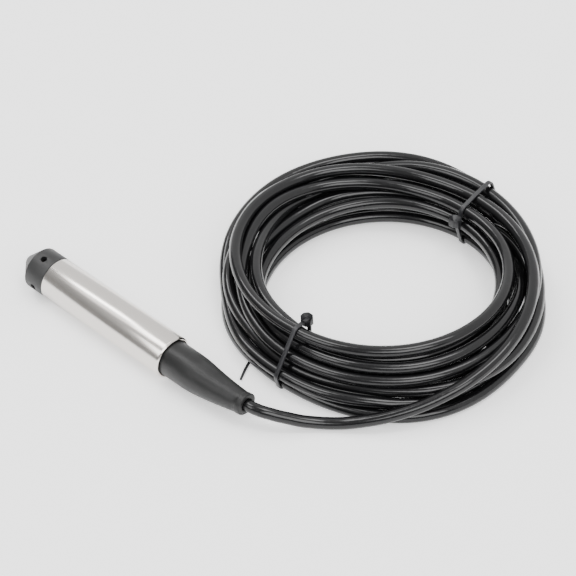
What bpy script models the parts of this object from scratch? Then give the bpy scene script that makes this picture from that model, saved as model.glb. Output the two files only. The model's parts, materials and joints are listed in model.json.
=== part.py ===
"""Submersible level transmitter: a stainless probe with a screw-on nose cap and a coiled cable.

The probe lies along +X with its nose at -X and its cable leaving at +X. The coil lies beside it
at +Y on the same surface, z = 0. Lengths are in metres, angles in degrees.
"""
import math

import bmesh
import bpy
from mathutils import Matrix, Vector

# Fit between neighbouring pieces
CLEARANCE = 0.0003

# Housing tube
TUBE_RADIUS = 0.0140
TUBE_LENGTH = 0.1035
TUBE_WALL = 0.0015
TUBE_LIP_LENGTH = 0.0015
TUBE_LIP_STEP = 0.0012
TUBE_FRONT_CHAMFER = 0.0003
TUBE_REAR_CHAMFER = 0.0010

# Nose cap
CAP_RADIUS = 0.0139
CAP_SKIRT_LENGTH = 0.0147
CAP_CONE_ANGLE = 45.0
CAP_TIP_RADIUS = 0.0060
CAP_WALL = 0.0035
CAP_FRONT_WALL = 0.0030
CAP_EDGE = 0.0004
FLOW_HOLE_RADIUS = 0.0021
FLOW_HOLE_SETBACK = 0.0078
FLOW_HOLE_ANGLE = 13.0
FLOW_DRILLINGS = 2

# Pressure port, which closes the front of the tube and carries the cap's thread
PORT_BOSS_LENGTH = 0.0054
PORT_SPIGOT_LENGTH = 0.0180
PORT_MOUTH_RADIUS = 0.0076
PORT_LIP_LENGTH = 0.0012
PORT_RING_SETBACK = 0.0080

# Small chamfer on the turned plugs
PLUG_EDGE = 0.0003

# Sensor cell, its diaphragm and what holds it
CELL_RADIUS = 0.0090
CELL_LENGTH = 0.0130
CELL_RING_SETBACK = 0.0060
PIN_RADIUS = 0.0004
PIN_LENGTH = 0.0060
PIN_CIRCLE = 0.0032
PIN_COUNT = 4
DIAPHRAGM_THICKNESS = 0.0003
DIAPHRAGM_RIPPLE = 0.00012
DIAPHRAGM_RIPPLES = 2
RETAINER_LENGTH = 0.0040
RETAINER_BORE = 0.0055
SPANNER_SLOT_WIDTH = 0.0020
SPANNER_SLOT_DEPTH = 0.0015

# Seal rings: half their thickness, and the depth left under and over them in their grooves
RING_SECTION = 0.00050
CAP_RING_SECTION = 0.00045
CAP_RING_SETBACK = 0.0012
GROOVE_DEPTH = 0.0013
CAP_GROOVE_DEPTH = 0.0010

# Circuit board and the parts on it
BOARD_START = 0.0210
BOARD_LENGTH = 0.0520
BOARD_WIDTH = 0.0196
BOARD_THICKNESS = 0.0016
HOLDER_LENGTH = 0.0050
HOLDER_INSET_FRONT = 0.0030
HOLDER_INSET_REAR = 0.0160
HOLDER_WINDOW = 0.0086
CHIP_SIZE = (0.0023, 0.0075, 0.0103)
CHIP_INSET = 0.0120
CHIP_EDGE = 0.0002
ARRESTER_RADIUS = 0.0027
ARRESTER_LENGTH = 0.0060
ARRESTER_INSET = 0.0270
TERMINAL_SIZE = (0.0080, 0.0100, 0.0090)
TERMINAL_INSET = 0.0030
TERMINAL_PITCH = 0.0050
TERMINAL_HOLE_RADIUS = 0.0012
TERMINAL_HOLE_HEIGHT = 0.0032
TERMINAL_HOLE_DEPTH = 0.0040
TERMINAL_SCREW_RADIUS = 0.0015
TERMINAL_SCREW_DEPTH = 0.0020
LEAD_STRIP_WIDTH = 0.0050
LEAD_STRIP_THICKNESS = 0.0003
LEAD_STRIP_BULGE = 0.0008

# Cable gland, which closes the rear of the tube
GLAND_SETBACK = 0.0034
GLAND_DISC_LENGTH = 0.0150
GLAND_HUB_RADIUS = 0.0086
GLAND_HUB_LENGTH = 0.0160
GLAND_SEAL_RADIUS = 0.0065
GLAND_SEAL_DEPTH = 0.0120
GLAND_RING_SETBACKS = (0.0040, 0.0090)
SEAL_SLEEVE_LENGTH = 0.0060
WASHER_THICKNESS = 0.0010
NUT_SHANK_LENGTH = 0.0042
NUT_HEAD_LENGTH = 0.0040
NUT_ACROSS_FLATS = 0.0148
GASKET_THICKNESS = 0.0010

# Strain relief boot
BOOT_RADIUS = 0.0119
BOOT_STRAIGHT = 0.0210
BOOT_VISIBLE_LENGTH = 0.0611
BOOT_NECK_RADIUS = 0.0072
BOOT_BLEND = 0.0060
BOOT_COLLAR_RADIUS = 0.0075
BOOT_COLLAR_LENGTH = 0.0040
BOOT_COLLAR_ROUNDING = 0.0010
BOOT_POCKET_MARGIN = 0.0012
BOOT_BEND_LENGTH = 0.0350
BOOT_BEND_OFFSET = 0.0024

# Cable
CABLE_RADIUS = 0.0040
SHEATH_INNER_END = 0.0800
CORE_RADIUS = 0.0007
CORE_SPREAD = 0.0016
CORE_RISE = 0.0014
CORE_LEAD = 0.0020
VENT_RADIUS = 0.0010
VENT_LENGTH = 0.0120
VENT_OFFSET = 0.0020

# Distance between the points of a cable's or a wire's curve
CABLE_STEP = 0.0055
CORE_STEP = 0.0022
FAR_CORE_STEP = 0.0050

# Route of the free cable after the boot's mouth, as it falls to the surface and meets the coil
CABLE_ROUTE = [
    (0.1052, 0.0054, 0.0136),
    (0.1092, 0.0084, 0.0128),
    (0.1130, 0.0119, 0.0114),
    (0.1174, 0.0153, 0.0094),
    (0.1229, 0.0200, 0.0068),
    (0.1285, 0.0264, 0.0049),
    (0.1343, 0.0324, 0.0042),
    (0.1399, 0.0395, 0.0041),
    (0.1449, 0.0481, 0.0041),
]

# Coil of cable, as wound and tied
COIL_CENTRE = (0.0845, 0.1330)
COIL_INNER_RADIUS = 0.0718
COIL_OUTER_RADIUS = 0.1010
COIL_HEIGHT = 0.0400
COIL_ROUNDING = 0.0080
COIL_MIDDLE_RADIUS = (COIL_INNER_RADIUS + COIL_OUTER_RADIUS) / 2
COIL_HALF_WIDTH = (COIL_OUTER_RADIUS - COIL_INNER_RADIUS) / 2

# Cable ties round the coil: the angle about the coil, and the length of the free tail
TIES = (("cable_tie_front", -89.0, 0.0140), ("cable_tie_back", 91.0, 0.0060))
TIE_WIDTH = 0.0036
TIE_THICKNESS = 0.0012
TIE_RECESS = 0.0017
TIE_HEAD = (0.0075, 0.0055, 0.0060)
TIE_HEAD_INSET = 0.0060

# Stripped far end of the cable, on the far side of the coil
FAR_END_ANGLE = 120.0
SLEEVE_RADIUS = 0.0047
SLEEVE_LENGTH = 0.0200
SLEEVE_BORE_DEPTH = 0.0130
SLEEVE_SHOULDER = 0.0018
FAR_CORE_LENGTH = 0.0350
FAR_CORE_SPREAD = 0.0030

# Facets
FINE_STEPS = 40
MEDIUM_STEPS = 24
COARSE_STEPS = 16
CORNER_STEPS = 3
RING_SIDES = 6
CABLE_SIDES = 4
WIRE_SIDES = 2
PIN_SIDES = 8
HOLE_SIDES = 12
BOOT_TAPER_RINGS = 5

# Lengths along the probe are measured from the front edge of the tube
TUBE_BORE = TUBE_RADIUS - TUBE_WALL
PLUG_RADIUS = TUBE_BORE - CLEARANCE
LIP_RADIUS = TUBE_BORE - TUBE_LIP_STEP
BOSS_RADIUS = LIP_RADIUS - CLEARANCE
BOSS_FRONT = -PORT_BOSS_LENGTH
PORT_SHOULDER = TUBE_LIP_LENGTH + CLEARANCE
PORT_REAR = PORT_SHOULDER + PORT_SPIGOT_LENGTH
CELL_BORE = CELL_RADIUS + CLEARANCE
CELL_SEAT = BOSS_FRONT + PORT_LIP_LENGTH
CELL_FRONT = CELL_SEAT + CLEARANCE
CELL_REAR = CELL_FRONT + CELL_LENGTH
RETAINER_FRONT = CELL_REAR + CLEARANCE
BOARD_END = BOARD_START + BOARD_LENGTH
GLAND_REAR = TUBE_LENGTH - GLAND_SETBACK
GLAND_FRONT = GLAND_REAR - GLAND_DISC_LENGTH
HUB_REAR = GLAND_REAR + GLAND_HUB_LENGTH
SEAL_SEAT = HUB_REAR - GLAND_SEAL_DEPTH
CABLE_BORE = CABLE_RADIUS + CLEARANCE
SEAL_FRONT = SEAL_SEAT + CLEARANCE
WASHER_FRONT = SEAL_FRONT + SEAL_SLEEVE_LENGTH + CLEARANCE
NUT_FRONT = WASHER_FRONT + WASHER_THICKNESS + CLEARANCE
NUT_HEAD_FRONT = max(NUT_FRONT + NUT_SHANK_LENGTH, HUB_REAR + CLEARANCE)
NUT_REAR = NUT_HEAD_FRONT + NUT_HEAD_LENGTH
GASKET_FRONT = GLAND_REAR + CLEARANCE
BOOT_FRONT = GASKET_FRONT + GASKET_THICKNESS + CLEARANCE
BOOT_REAR = TUBE_LENGTH + BOOT_VISIBLE_LENGTH
CAP_REAR = -CLEARANCE
CAP_SHOULDER = CAP_REAR - CAP_SKIRT_LENGTH
CAP_TAPER = math.tan(math.radians(CAP_CONE_ANGLE))
CAP_APEX = CAP_SHOULDER - CAP_RADIUS / CAP_TAPER
CAP_TIP_CENTRE = CAP_APEX + CAP_TIP_RADIUS / math.sin(math.radians(CAP_CONE_ANGLE))
CAP_TIP = CAP_TIP_CENTRE - CAP_TIP_RADIUS
PROBE_LENGTH = BOOT_REAR - CAP_TIP
TUBE_FRONT_X = -PROBE_LENGTH / 2 - CAP_TIP


def clear_scene():
    """Remove whatever the scene holds, so that the script can be run again."""
    for item in list(bpy.data.objects):
        bpy.data.objects.remove(item, do_unlink=True)


def collection(name):
    """A collection linked to the scene."""
    group = bpy.data.collections.new(name)
    bpy.context.scene.collection.children.link(group)
    return group


def finish(name, colour, roughness, metallic=0.0):
    """A plain surface finish."""
    material = bpy.data.materials.new(name)
    material.use_nodes = True
    shader = material.node_tree.nodes["Principled BSDF"]
    shader.inputs["Base Color"].default_value = (*colour, 1.0)
    shader.inputs["Roughness"].default_value = roughness
    shader.inputs["Metallic"].default_value = metallic
    return material


clear_scene()
PARTS = collection("submersible_level_transmitter")
CUTTERS = collection("cutters")
FINISHES = {
    "steel": finish("brushed_stainless", (0.62, 0.60, 0.58), 0.32, 1.0),
    "cap": finish("dark_grey_plastic", (0.07, 0.07, 0.07), 0.55),
    "boot": finish("black_boot_rubber", (0.045, 0.045, 0.045), 0.6),
    "seal": finish("black_seal_rubber", (0.02, 0.02, 0.02), 0.7),
    "board": finish("green_board", (0.03, 0.20, 0.08), 0.5),
    "chip": finish("black_moulding", (0.03, 0.03, 0.03), 0.45),
    "terminal": finish("green_terminal", (0.05, 0.32, 0.12), 0.4),
    "carrier": finish("white_carrier_plastic", (0.75, 0.75, 0.72), 0.5),
    "ceramic": finish("white_ceramic", (0.85, 0.83, 0.80), 0.3),
    "brass": finish("plated_brass", (0.70, 0.62, 0.42), 0.3, 1.0),
    "film": finish("amber_film", (0.55, 0.28, 0.06), 0.35),
    "jacket": finish("black_cable_jacket", (0.02, 0.02, 0.022), 0.28),
    "red": finish("red_core", (0.55, 0.03, 0.02), 0.4),
    "blue": finish("blue_core", (0.02, 0.09, 0.45), 0.4),
    "clear": finish("milky_vent_tube", (0.80, 0.80, 0.76), 0.35),
    "nylon": finish("black_tie_nylon", (0.02, 0.02, 0.02), 0.4),
}


def axis_empty():
    """The probe's axis: its local Z runs from nose to cable, from the tube's front edge."""
    empty = bpy.data.objects.new("probe_axis", None)
    empty.location = (TUBE_FRONT_X, 0.0, TUBE_RADIUS)
    empty.rotation_euler = (0.0, math.radians(90.0), 0.0)
    PARTS.objects.link(empty)
    return empty


PROBE_AXIS = axis_empty()


def place(name, data, surface, parent=None):
    """Make an object of some mesh or curve data, in the parts' collection."""
    item = bpy.data.objects.new(name, data)
    item.parent = parent
    PARTS.objects.link(item)
    if surface:
        data.materials.append(FINISHES[surface])
    return item


def as_cutter(item):
    """Move an object to the cutters, where it is a tool and not a part."""
    PARTS.objects.unlink(item)
    CUTTERS.objects.link(item)
    item.hide_render = True
    item.display_type = "WIRE"
    return item


def boolean(target, tool, operation="DIFFERENCE"):
    """Cut one object by another, or join the other to it."""
    modifier = target.modifiers.new(f"{operation.lower()}_{tool.name}", "BOOLEAN")
    modifier.operation = operation
    modifier.solver = "EXACT"
    modifier.object = tool


def settle(item):
    """Replace an object's data with its evaluated mesh, welded and shaded smooth."""
    bpy.context.view_layer.update()
    graph = bpy.context.evaluated_depsgraph_get()
    mesh = bpy.data.meshes.new_from_object(item.evaluated_get(graph))
    welded = bmesh.new()
    welded.from_mesh(mesh)
    bmesh.ops.remove_doubles(welded, verts=welded.verts, dist=1e-6)
    welded.to_mesh(mesh)
    welded.free()
    mesh.name = item.name
    mesh.shade_smooth()
    mesh.set_sharp_from_angle(angle=math.radians(35.0))
    return mesh


def turned(name, outline, surface, steps=MEDIUM_STEPS, closed=True, parent=PROBE_AXIS):
    """Turn an outline of (length, radius) points about the local Z axis.

    The outline runs along its outer side from the rear to the front, and back along its bore.
    An open outline starts and ends on the axis.
    """
    profile = bpy.data.meshes.new(name)
    corners = [(radius, 0.0, length) for length, radius in outline]
    edges = [(index, index + 1) for index in range(len(corners) - 1)]
    if closed:
        edges.append((len(corners) - 1, 0))
    profile.from_pydata(corners, edges, [])
    item = place(name, profile, surface, parent)
    screw = item.modifiers.new("turn", "SCREW")
    screw.axis = "Z"
    screw.steps = steps
    screw.render_steps = steps
    screw.use_merge_vertices = True
    screw.merge_threshold = 1e-6
    mesh = settle(item)
    item.modifiers.clear()
    item.data = mesh
    return item


def block(name, size, centre, surface, parent=PROBE_AXIS, edge=0.0):
    """A box with rounded edges."""
    mesh = bpy.data.meshes.new(name)
    box = bmesh.new()
    bmesh.ops.create_cube(box, size=1.0, matrix=Matrix.Diagonal((*size, 1.0)))
    box.to_mesh(mesh)
    box.free()
    item = place(name, mesh, surface, parent)
    item.location = centre
    if edge:
        bevel = item.modifiers.new("rounded_edges", "BEVEL")
        bevel.width = edge
        bevel.segments = 2
    return item


def cylinder(name, radius, length, centre, direction, surface, sides=COARSE_STEPS, parent=PROBE_AXIS):
    """A cylinder, or a prism of a few sides, along a direction through its centre."""
    mesh = bpy.data.meshes.new(name)
    rod = bmesh.new()
    bmesh.ops.create_cone(rod, cap_ends=True, segments=sides, radius1=radius, radius2=radius, depth=length)
    rod.to_mesh(mesh)
    rod.free()
    mesh.shade_smooth()
    mesh.set_sharp_from_angle(angle=math.radians(35.0))
    item = place(name, mesh, surface, parent)
    item.location = centre
    item.rotation_euler = Vector(direction).to_track_quat("Z", "Y").to_euler()
    return item


def seal_ring(name, middle, radius, section, surface="seal"):
    """A rubber ring of round section about the probe's axis."""
    bpy.ops.mesh.primitive_torus_add(
        major_segments=MEDIUM_STEPS, minor_segments=RING_SIDES, major_radius=radius, minor_radius=section)
    made = bpy.context.object
    mesh = made.data
    bpy.data.objects.remove(made)
    mesh.name = name
    mesh.shade_smooth()
    item = place(name, mesh, surface, PROBE_AXIS)
    item.location = (0.0, 0.0, middle)
    return item


def smooth_route(points, spacing):
    """Points at an even spacing on a smooth curve through the route's own points."""
    knots = [Vector(point) for point in points]
    knots = [2 * knots[0] - knots[1], *knots, 2 * knots[-1] - knots[-2]]
    fine = []
    for before, start, end, after in zip(knots, knots[1:], knots[2:], knots[3:]):
        for step in range(24):
            part = step / 24
            fine.append(0.5 * (2 * start + (end - before) * part
                               + (2 * before - 5 * start + 4 * end - after) * part ** 2
                               + (3 * start - before - 3 * end + after) * part ** 3))
    fine.append(knots[-2])
    total = sum((second - first).length for first, second in zip(fine, fine[1:]))
    count = max(2, round(total / spacing))
    even = [fine[0]]
    walked = 0.0
    for first, second in zip(fine, fine[1:]):
        reach = (second - first).length
        while len(even) < count and walked + reach >= len(even) * total / count:
            even.append(first.lerp(second, (len(even) * total / count - walked) / reach))
        walked += reach
    even.append(fine[-1])
    return even


def round_wire(name, route, radius, surface, parent, spacing, sides=WIRE_SIDES):
    """A round wire or cable along a smooth curve through a route."""
    points = smooth_route(route, spacing)
    curve = bpy.data.curves.new(name, "CURVE")
    curve.dimensions = "3D"
    curve.bevel_depth = radius
    curve.bevel_resolution = sides
    curve.use_fill_caps = True
    spline = curve.splines.new("POLY")
    spline.points.add(len(points) - 1)
    for slot, point in zip(spline.points, points):
        slot.co = (*point, 1.0)
    return place(name, curve, surface, parent)


def line(start, end, count):
    """Evenly spaced numbers from start to end."""
    return [start + (end - start) * index / (count - 1) for index in range(count)]


def groove(middle, outer, depth, section):
    """The four corners of a seal ring's groove, from the rear to the front."""
    half = section + CLEARANCE
    return [(middle + half, outer), (middle + half, outer - depth),
            (middle - half, outer - depth), (middle - half, outer)]


def ring_in_groove(outer, depth):
    """The radius of a seal ring's middle, half way between its groove's floor and its bore."""
    return outer - depth + (depth + CLEARANCE) / 2


def nose_cap():
    """The dark plastic cap: a threaded skirt, a hollow cone and two drillings across it."""
    cavity = CAP_RADIUS - CAP_WALL
    seat = BOSS_FRONT - CLEARANCE
    skirt = BOSS_RADIUS + CLEARANCE
    inner_apex = CAP_APEX + CAP_FRONT_WALL / math.sin(math.radians(CAP_CONE_ANGLE))
    floor_radius = cavity / 3
    floor = inner_apex + floor_radius / CAP_TAPER
    inside = [(floor, 0.0), (floor, floor_radius), (inner_apex + cavity / CAP_TAPER, cavity),
              (seat, cavity), (seat, skirt), (CAP_REAR, skirt)]
    outside = [(CAP_REAR, CAP_RADIUS - CAP_EDGE), (CAP_REAR - CAP_EDGE, CAP_RADIUS),
               (CAP_SHOULDER + CAP_EDGE, CAP_RADIUS), (CAP_SHOULDER - CAP_EDGE / 2, CAP_RADIUS - CAP_EDGE)]
    tip = []
    for angle in line(90.0 - CAP_CONE_ANGLE, 0.0, 6):
        turn = math.radians(angle)
        tip.append((CAP_TIP_CENTRE - CAP_TIP_RADIUS * math.cos(turn), CAP_TIP_RADIUS * math.sin(turn)))
    shell = turned("nose_cap", inside + outside + tip, "cap", FINE_STEPS, closed=False)
    for index in range(FLOW_DRILLINGS):
        angle = math.radians(FLOW_HOLE_ANGLE + 180.0 * index / FLOW_DRILLINGS)
        across = (-math.sin(angle), math.cos(angle), 0.0)
        drill = cylinder(f"flow_drilling_{index + 1}", FLOW_HOLE_RADIUS, CAP_RADIUS * 3,
                         (0.0, 0.0, CAP_REAR - FLOW_HOLE_SETBACK), across, None)
        boolean(shell, as_cutter(drill))


def housing_tube():
    """The stainless tube: a lip at its front holds the port, and its rear rim is bevelled."""
    turned("housing_tube", [
        (TUBE_LENGTH, TUBE_RADIUS - TUBE_REAR_CHAMFER),
        (TUBE_LENGTH - TUBE_REAR_CHAMFER, TUBE_RADIUS),
        (TUBE_FRONT_CHAMFER, TUBE_RADIUS),
        (0.0, TUBE_RADIUS - TUBE_FRONT_CHAMFER),
        (0.0, LIP_RADIUS),
        (TUBE_LIP_LENGTH, LIP_RADIUS),
        (TUBE_LIP_LENGTH, TUBE_BORE),
        (TUBE_LENGTH, TUBE_BORE),
    ], "steel", FINE_STEPS)


def sensor_port():
    """The turned port: its spigot fills the tube's front, and its boss carries the cap's thread."""
    ring_middle = PORT_SHOULDER + PORT_RING_SETBACK
    turned("sensor_port", [
        (PORT_REAR, PLUG_RADIUS - PLUG_EDGE),
        (PORT_REAR - PLUG_EDGE, PLUG_RADIUS),
        *groove(ring_middle, PLUG_RADIUS, GROOVE_DEPTH, RING_SECTION),
        (PORT_SHOULDER, PLUG_RADIUS),
        (PORT_SHOULDER, BOSS_RADIUS),
        *groove(-CAP_RING_SETBACK, BOSS_RADIUS, CAP_GROOVE_DEPTH, CAP_RING_SECTION),
        (BOSS_FRONT + PLUG_EDGE, BOSS_RADIUS),
        (BOSS_FRONT, BOSS_RADIUS - PLUG_EDGE),
        (BOSS_FRONT, PORT_MOUTH_RADIUS),
        (CELL_SEAT, PORT_MOUTH_RADIUS),
        (CELL_SEAT, CELL_BORE),
        (PORT_REAR, CELL_BORE),
    ], "steel", FINE_STEPS)
    seal_ring("port_seal_ring", ring_middle, ring_in_groove(PLUG_RADIUS, GROOVE_DEPTH), RING_SECTION)
    seal_ring("cap_seal_ring", -CAP_RING_SETBACK, ring_in_groove(BOSS_RADIUS, CAP_GROOVE_DEPTH),
              CAP_RING_SECTION)


def sensor_cell():
    """The pressure cell, with its lead-through pins, its seal ring and its rippled diaphragm."""
    ring_middle = CELL_FRONT + CELL_RING_SETBACK
    cell = turned("sensor_cell", [
        (CELL_REAR, 0.0),
        (CELL_REAR, CELL_RADIUS - PLUG_EDGE),
        (CELL_REAR - PLUG_EDGE, CELL_RADIUS),
        *groove(ring_middle, CELL_RADIUS, GROOVE_DEPTH, RING_SECTION),
        (CELL_FRONT, CELL_RADIUS),
        (CELL_FRONT, 0.0),
    ], "steel", closed=False)
    for index in range(PIN_COUNT):
        angle = math.tau * (index + 0.5) / PIN_COUNT
        centre = (PIN_CIRCLE * math.cos(angle), PIN_CIRCLE * math.sin(angle), CELL_REAR)
        pin = cylinder(f"cell_pin_{index + 1}", PIN_RADIUS, 2 * PIN_LENGTH, centre, (0, 0, 1), None,
                       PIN_SIDES)
        boolean(cell, as_cutter(pin), "UNION")
    seal_ring("cell_seal_ring", ring_middle, ring_in_groove(CELL_RADIUS, GROOVE_DEPTH), RING_SECTION)

    radius = PORT_MOUTH_RADIUS - CLEARANCE
    middle = CELL_FRONT - CLEARANCE - DIAPHRAGM_RIPPLE - DIAPHRAGM_THICKNESS / 2
    face = []
    for reach in line(0.0, radius, 4 * DIAPHRAGM_RIPPLES + 1):
        wave = math.cos(math.tau * DIAPHRAGM_RIPPLES * reach / radius)
        face.append((middle + DIAPHRAGM_RIPPLE * wave, reach))
    rear = [(length + DIAPHRAGM_THICKNESS / 2, reach) for length, reach in face]
    front = [(length - DIAPHRAGM_THICKNESS / 2, reach) for length, reach in reversed(face)]
    turned("isolating_diaphragm", rear + front, "steel", closed=False)


def cell_retaining_ring():
    """The threaded ring that clamps the cell, with two slots for a pin spanner."""
    rear = RETAINER_FRONT + RETAINER_LENGTH
    ring = turned("cell_retaining_ring", [
        (rear, CELL_RADIUS),
        (RETAINER_FRONT, CELL_RADIUS),
        (RETAINER_FRONT, RETAINER_BORE),
        (rear, RETAINER_BORE),
    ], "brass")
    slot = block("spanner_slots", (SPANNER_SLOT_WIDTH, 3 * CELL_RADIUS, 2 * SPANNER_SLOT_DEPTH),
                 (0.0, 0.0, rear), None)
    boolean(ring, as_cutter(slot))


def board_top(height):
    """The place over the board of the middle of a piece this high. The board's top faces local -X."""
    return -(BOARD_THICKNESS / 2 + CLEARANCE + height / 2)


def board_holder(name, start):
    """A moulded ring in the tube with a slot for each edge of the board."""
    ring = turned(name, [
        (start + HOLDER_LENGTH, PLUG_RADIUS),
        (start, PLUG_RADIUS),
        (start, HOLDER_WINDOW),
        (start + HOLDER_LENGTH, HOLDER_WINDOW),
    ], "carrier")
    size = (BOARD_THICKNESS + 2 * CLEARANCE, BOARD_WIDTH + 2 * CLEARANCE, 3 * HOLDER_LENGTH)
    slot = block(f"{name}_slot", size, (0.0, 0.0, start + HOLDER_LENGTH / 2), None)
    boolean(ring, as_cutter(slot))


def circuit_board():
    """The board, the two rings that hold it, and the parts soldered on its top."""
    block("circuit_board", (BOARD_THICKNESS, BOARD_WIDTH, BOARD_LENGTH),
          (0.0, 0.0, BOARD_START + BOARD_LENGTH / 2), "board")
    board_holder("board_holder_front", BOARD_START + HOLDER_INSET_FRONT)
    board_holder("board_holder_rear", BOARD_END - HOLDER_INSET_REAR - HOLDER_LENGTH)
    chip_middle = BOARD_START + CHIP_INSET + CHIP_SIZE[2] / 2
    block("amplifier_chip", CHIP_SIZE, (board_top(CHIP_SIZE[0]), 0.0, chip_middle), "chip", edge=CHIP_EDGE)
    cylinder("surge_arrester", ARRESTER_RADIUS, ARRESTER_LENGTH,
             (board_top(2 * ARRESTER_RADIUS), 0.0, BOARD_START + ARRESTER_INSET), (0.0, 1.0, 0.0), "ceramic")


def terminal_place(side):
    """The local X and Y of one of the terminal block's two wire holes."""
    return -(BOARD_THICKNESS / 2 + CLEARANCE + TERMINAL_HOLE_HEIGHT), side * TERMINAL_PITCH / 2


def terminal_block():
    """The two-way terminal block, with a wire hole and a screw well for each core."""
    height, _, length = TERMINAL_SIZE
    rear = BOARD_END - TERMINAL_INSET
    body = block("terminal_block", TERMINAL_SIZE, (board_top(height), 0.0, rear - length / 2), "terminal")
    top = board_top(height) - height / 2
    for name, side in (("left", -1), ("right", 1)):
        across = terminal_place(side)
        hole = cylinder(f"wire_hole_{name}", TERMINAL_HOLE_RADIUS, 2 * TERMINAL_HOLE_DEPTH,
                        (*across, rear), (0.0, 0.0, 1.0), None, HOLE_SIDES)
        boolean(body, as_cutter(hole))
        well = cylinder(f"screw_well_{name}", TERMINAL_SCREW_RADIUS, 2 * TERMINAL_SCREW_DEPTH,
                        (top, across[1], rear - length / 2), (1.0, 0.0, 0.0), None, HOLE_SIDES)
        boolean(body, as_cutter(well))


def sensor_lead_strip():
    """The flat lead from the cell's pins to the board."""
    pins_end = CELL_REAR + PIN_LENGTH + CLEARANCE + LEAD_STRIP_THICKNESS / 2
    rest = board_top(LEAD_STRIP_THICKNESS)
    reach = PIN_CIRCLE
    route = [(reach, pins_end), (-reach, pins_end),
             (-reach - LEAD_STRIP_BULGE, pins_end + 2 * LEAD_STRIP_BULGE),
             (-reach, (pins_end + BOARD_START) / 2), (rest, BOARD_START),
             (rest, BOARD_START + HOLDER_INSET_FRONT - 2 * CLEARANCE)]
    mesh = bpy.data.meshes.new("sensor_lead_strip")
    strip = bmesh.new()
    ends = [strip.verts.new((route[0][0], side * LEAD_STRIP_WIDTH / 2, route[0][1])) for side in (-1, 1)]
    edge = strip.edges.new(ends)
    for start, end in zip(route, route[1:]):
        made = bmesh.ops.extrude_edge_only(strip, edges=[edge])["geom"]
        moved = [part for part in made if isinstance(part, bmesh.types.BMVert)]
        bmesh.ops.translate(strip, verts=moved, vec=(end[0] - start[0], 0.0, end[1] - start[1]))
        edge = next(part for part in made if isinstance(part, bmesh.types.BMEdge))
    strip.to_mesh(mesh)
    strip.free()
    item = place("sensor_lead_strip", mesh, "film", PROBE_AXIS)
    wall = item.modifiers.new("film", "SOLIDIFY")
    wall.thickness = LEAD_STRIP_THICKNESS
    wall.offset = 0.0


def gland_body():
    """The turned plug in the tube's rear, and the hub behind it that the boot grips."""
    rings = [GLAND_FRONT + setback for setback in GLAND_RING_SETBACKS]
    grooves = [corner for middle in sorted(rings, reverse=True)
               for corner in groove(middle, PLUG_RADIUS, GROOVE_DEPTH, RING_SECTION)]
    turned("gland_body", [
        (HUB_REAR, GLAND_HUB_RADIUS - PLUG_EDGE),
        (HUB_REAR - PLUG_EDGE, GLAND_HUB_RADIUS),
        (GLAND_REAR, GLAND_HUB_RADIUS),
        (GLAND_REAR, PLUG_RADIUS),
        *grooves,
        (GLAND_FRONT + PLUG_EDGE, PLUG_RADIUS),
        (GLAND_FRONT, PLUG_RADIUS - PLUG_EDGE),
        (GLAND_FRONT, CABLE_BORE),
        (SEAL_SEAT, CABLE_BORE),
        (SEAL_SEAT, GLAND_SEAL_RADIUS),
        (HUB_REAR, GLAND_SEAL_RADIUS),
    ], "brass", FINE_STEPS)
    for name, middle in zip(("front", "rear"), rings):
        seal_ring(f"gland_seal_ring_{name}", middle, ring_in_groove(PLUG_RADIUS, GROOVE_DEPTH), RING_SECTION)


def sleeve(name, front, length, outer, bore, surface):
    """A plain ring or sleeve about the probe's axis."""
    turned(name, [(front + length, outer), (front, outer), (front, bore), (front + length, bore)], surface)


def cable_gland_fittings():
    """The rubber seal round the cable, its washer and nut, and the gasket under the boot."""
    inside = GLAND_SEAL_RADIUS - CLEARANCE
    sleeve("cable_seal", SEAL_FRONT, SEAL_SLEEVE_LENGTH, inside, CABLE_BORE, "seal")
    sleeve("thrust_washer", WASHER_FRONT, WASHER_THICKNESS, inside, CABLE_BORE, "steel")
    sleeve("rear_gasket", GASKET_FRONT, GASKET_THICKNESS, PLUG_RADIUS, GLAND_HUB_RADIUS + CLEARANCE, "seal")

    corner = NUT_ACROSS_FLATS / math.sqrt(3)
    nut = cylinder("clamp_nut", corner, NUT_HEAD_LENGTH, (0, 0, NUT_REAR - NUT_HEAD_LENGTH / 2), (0, 0, 1),
                   "brass", 6)
    shank_rear = NUT_HEAD_FRONT + NUT_HEAD_LENGTH / 2
    shank = cylinder("nut_shank", inside, shank_rear - NUT_FRONT, (0, 0, (NUT_FRONT + shank_rear) / 2),
                     (0, 0, 1), None, MEDIUM_STEPS)
    boolean(nut, as_cutter(shank), "UNION")
    bore = cylinder("nut_bore", CABLE_BORE, 4 * (NUT_REAR - NUT_FRONT), (0, 0, NUT_FRONT), (0, 0, 1),
                    None, MEDIUM_STEPS)
    boolean(nut, as_cutter(bore))


def boot_bend(length):
    """How far the boot's tip is pulled aside by the cable, at a length along the probe."""
    part = max(0.0, length - (BOOT_REAR - BOOT_BEND_LENGTH)) / BOOT_BEND_LENGTH
    return BOOT_BEND_OFFSET * part ** 2


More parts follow.
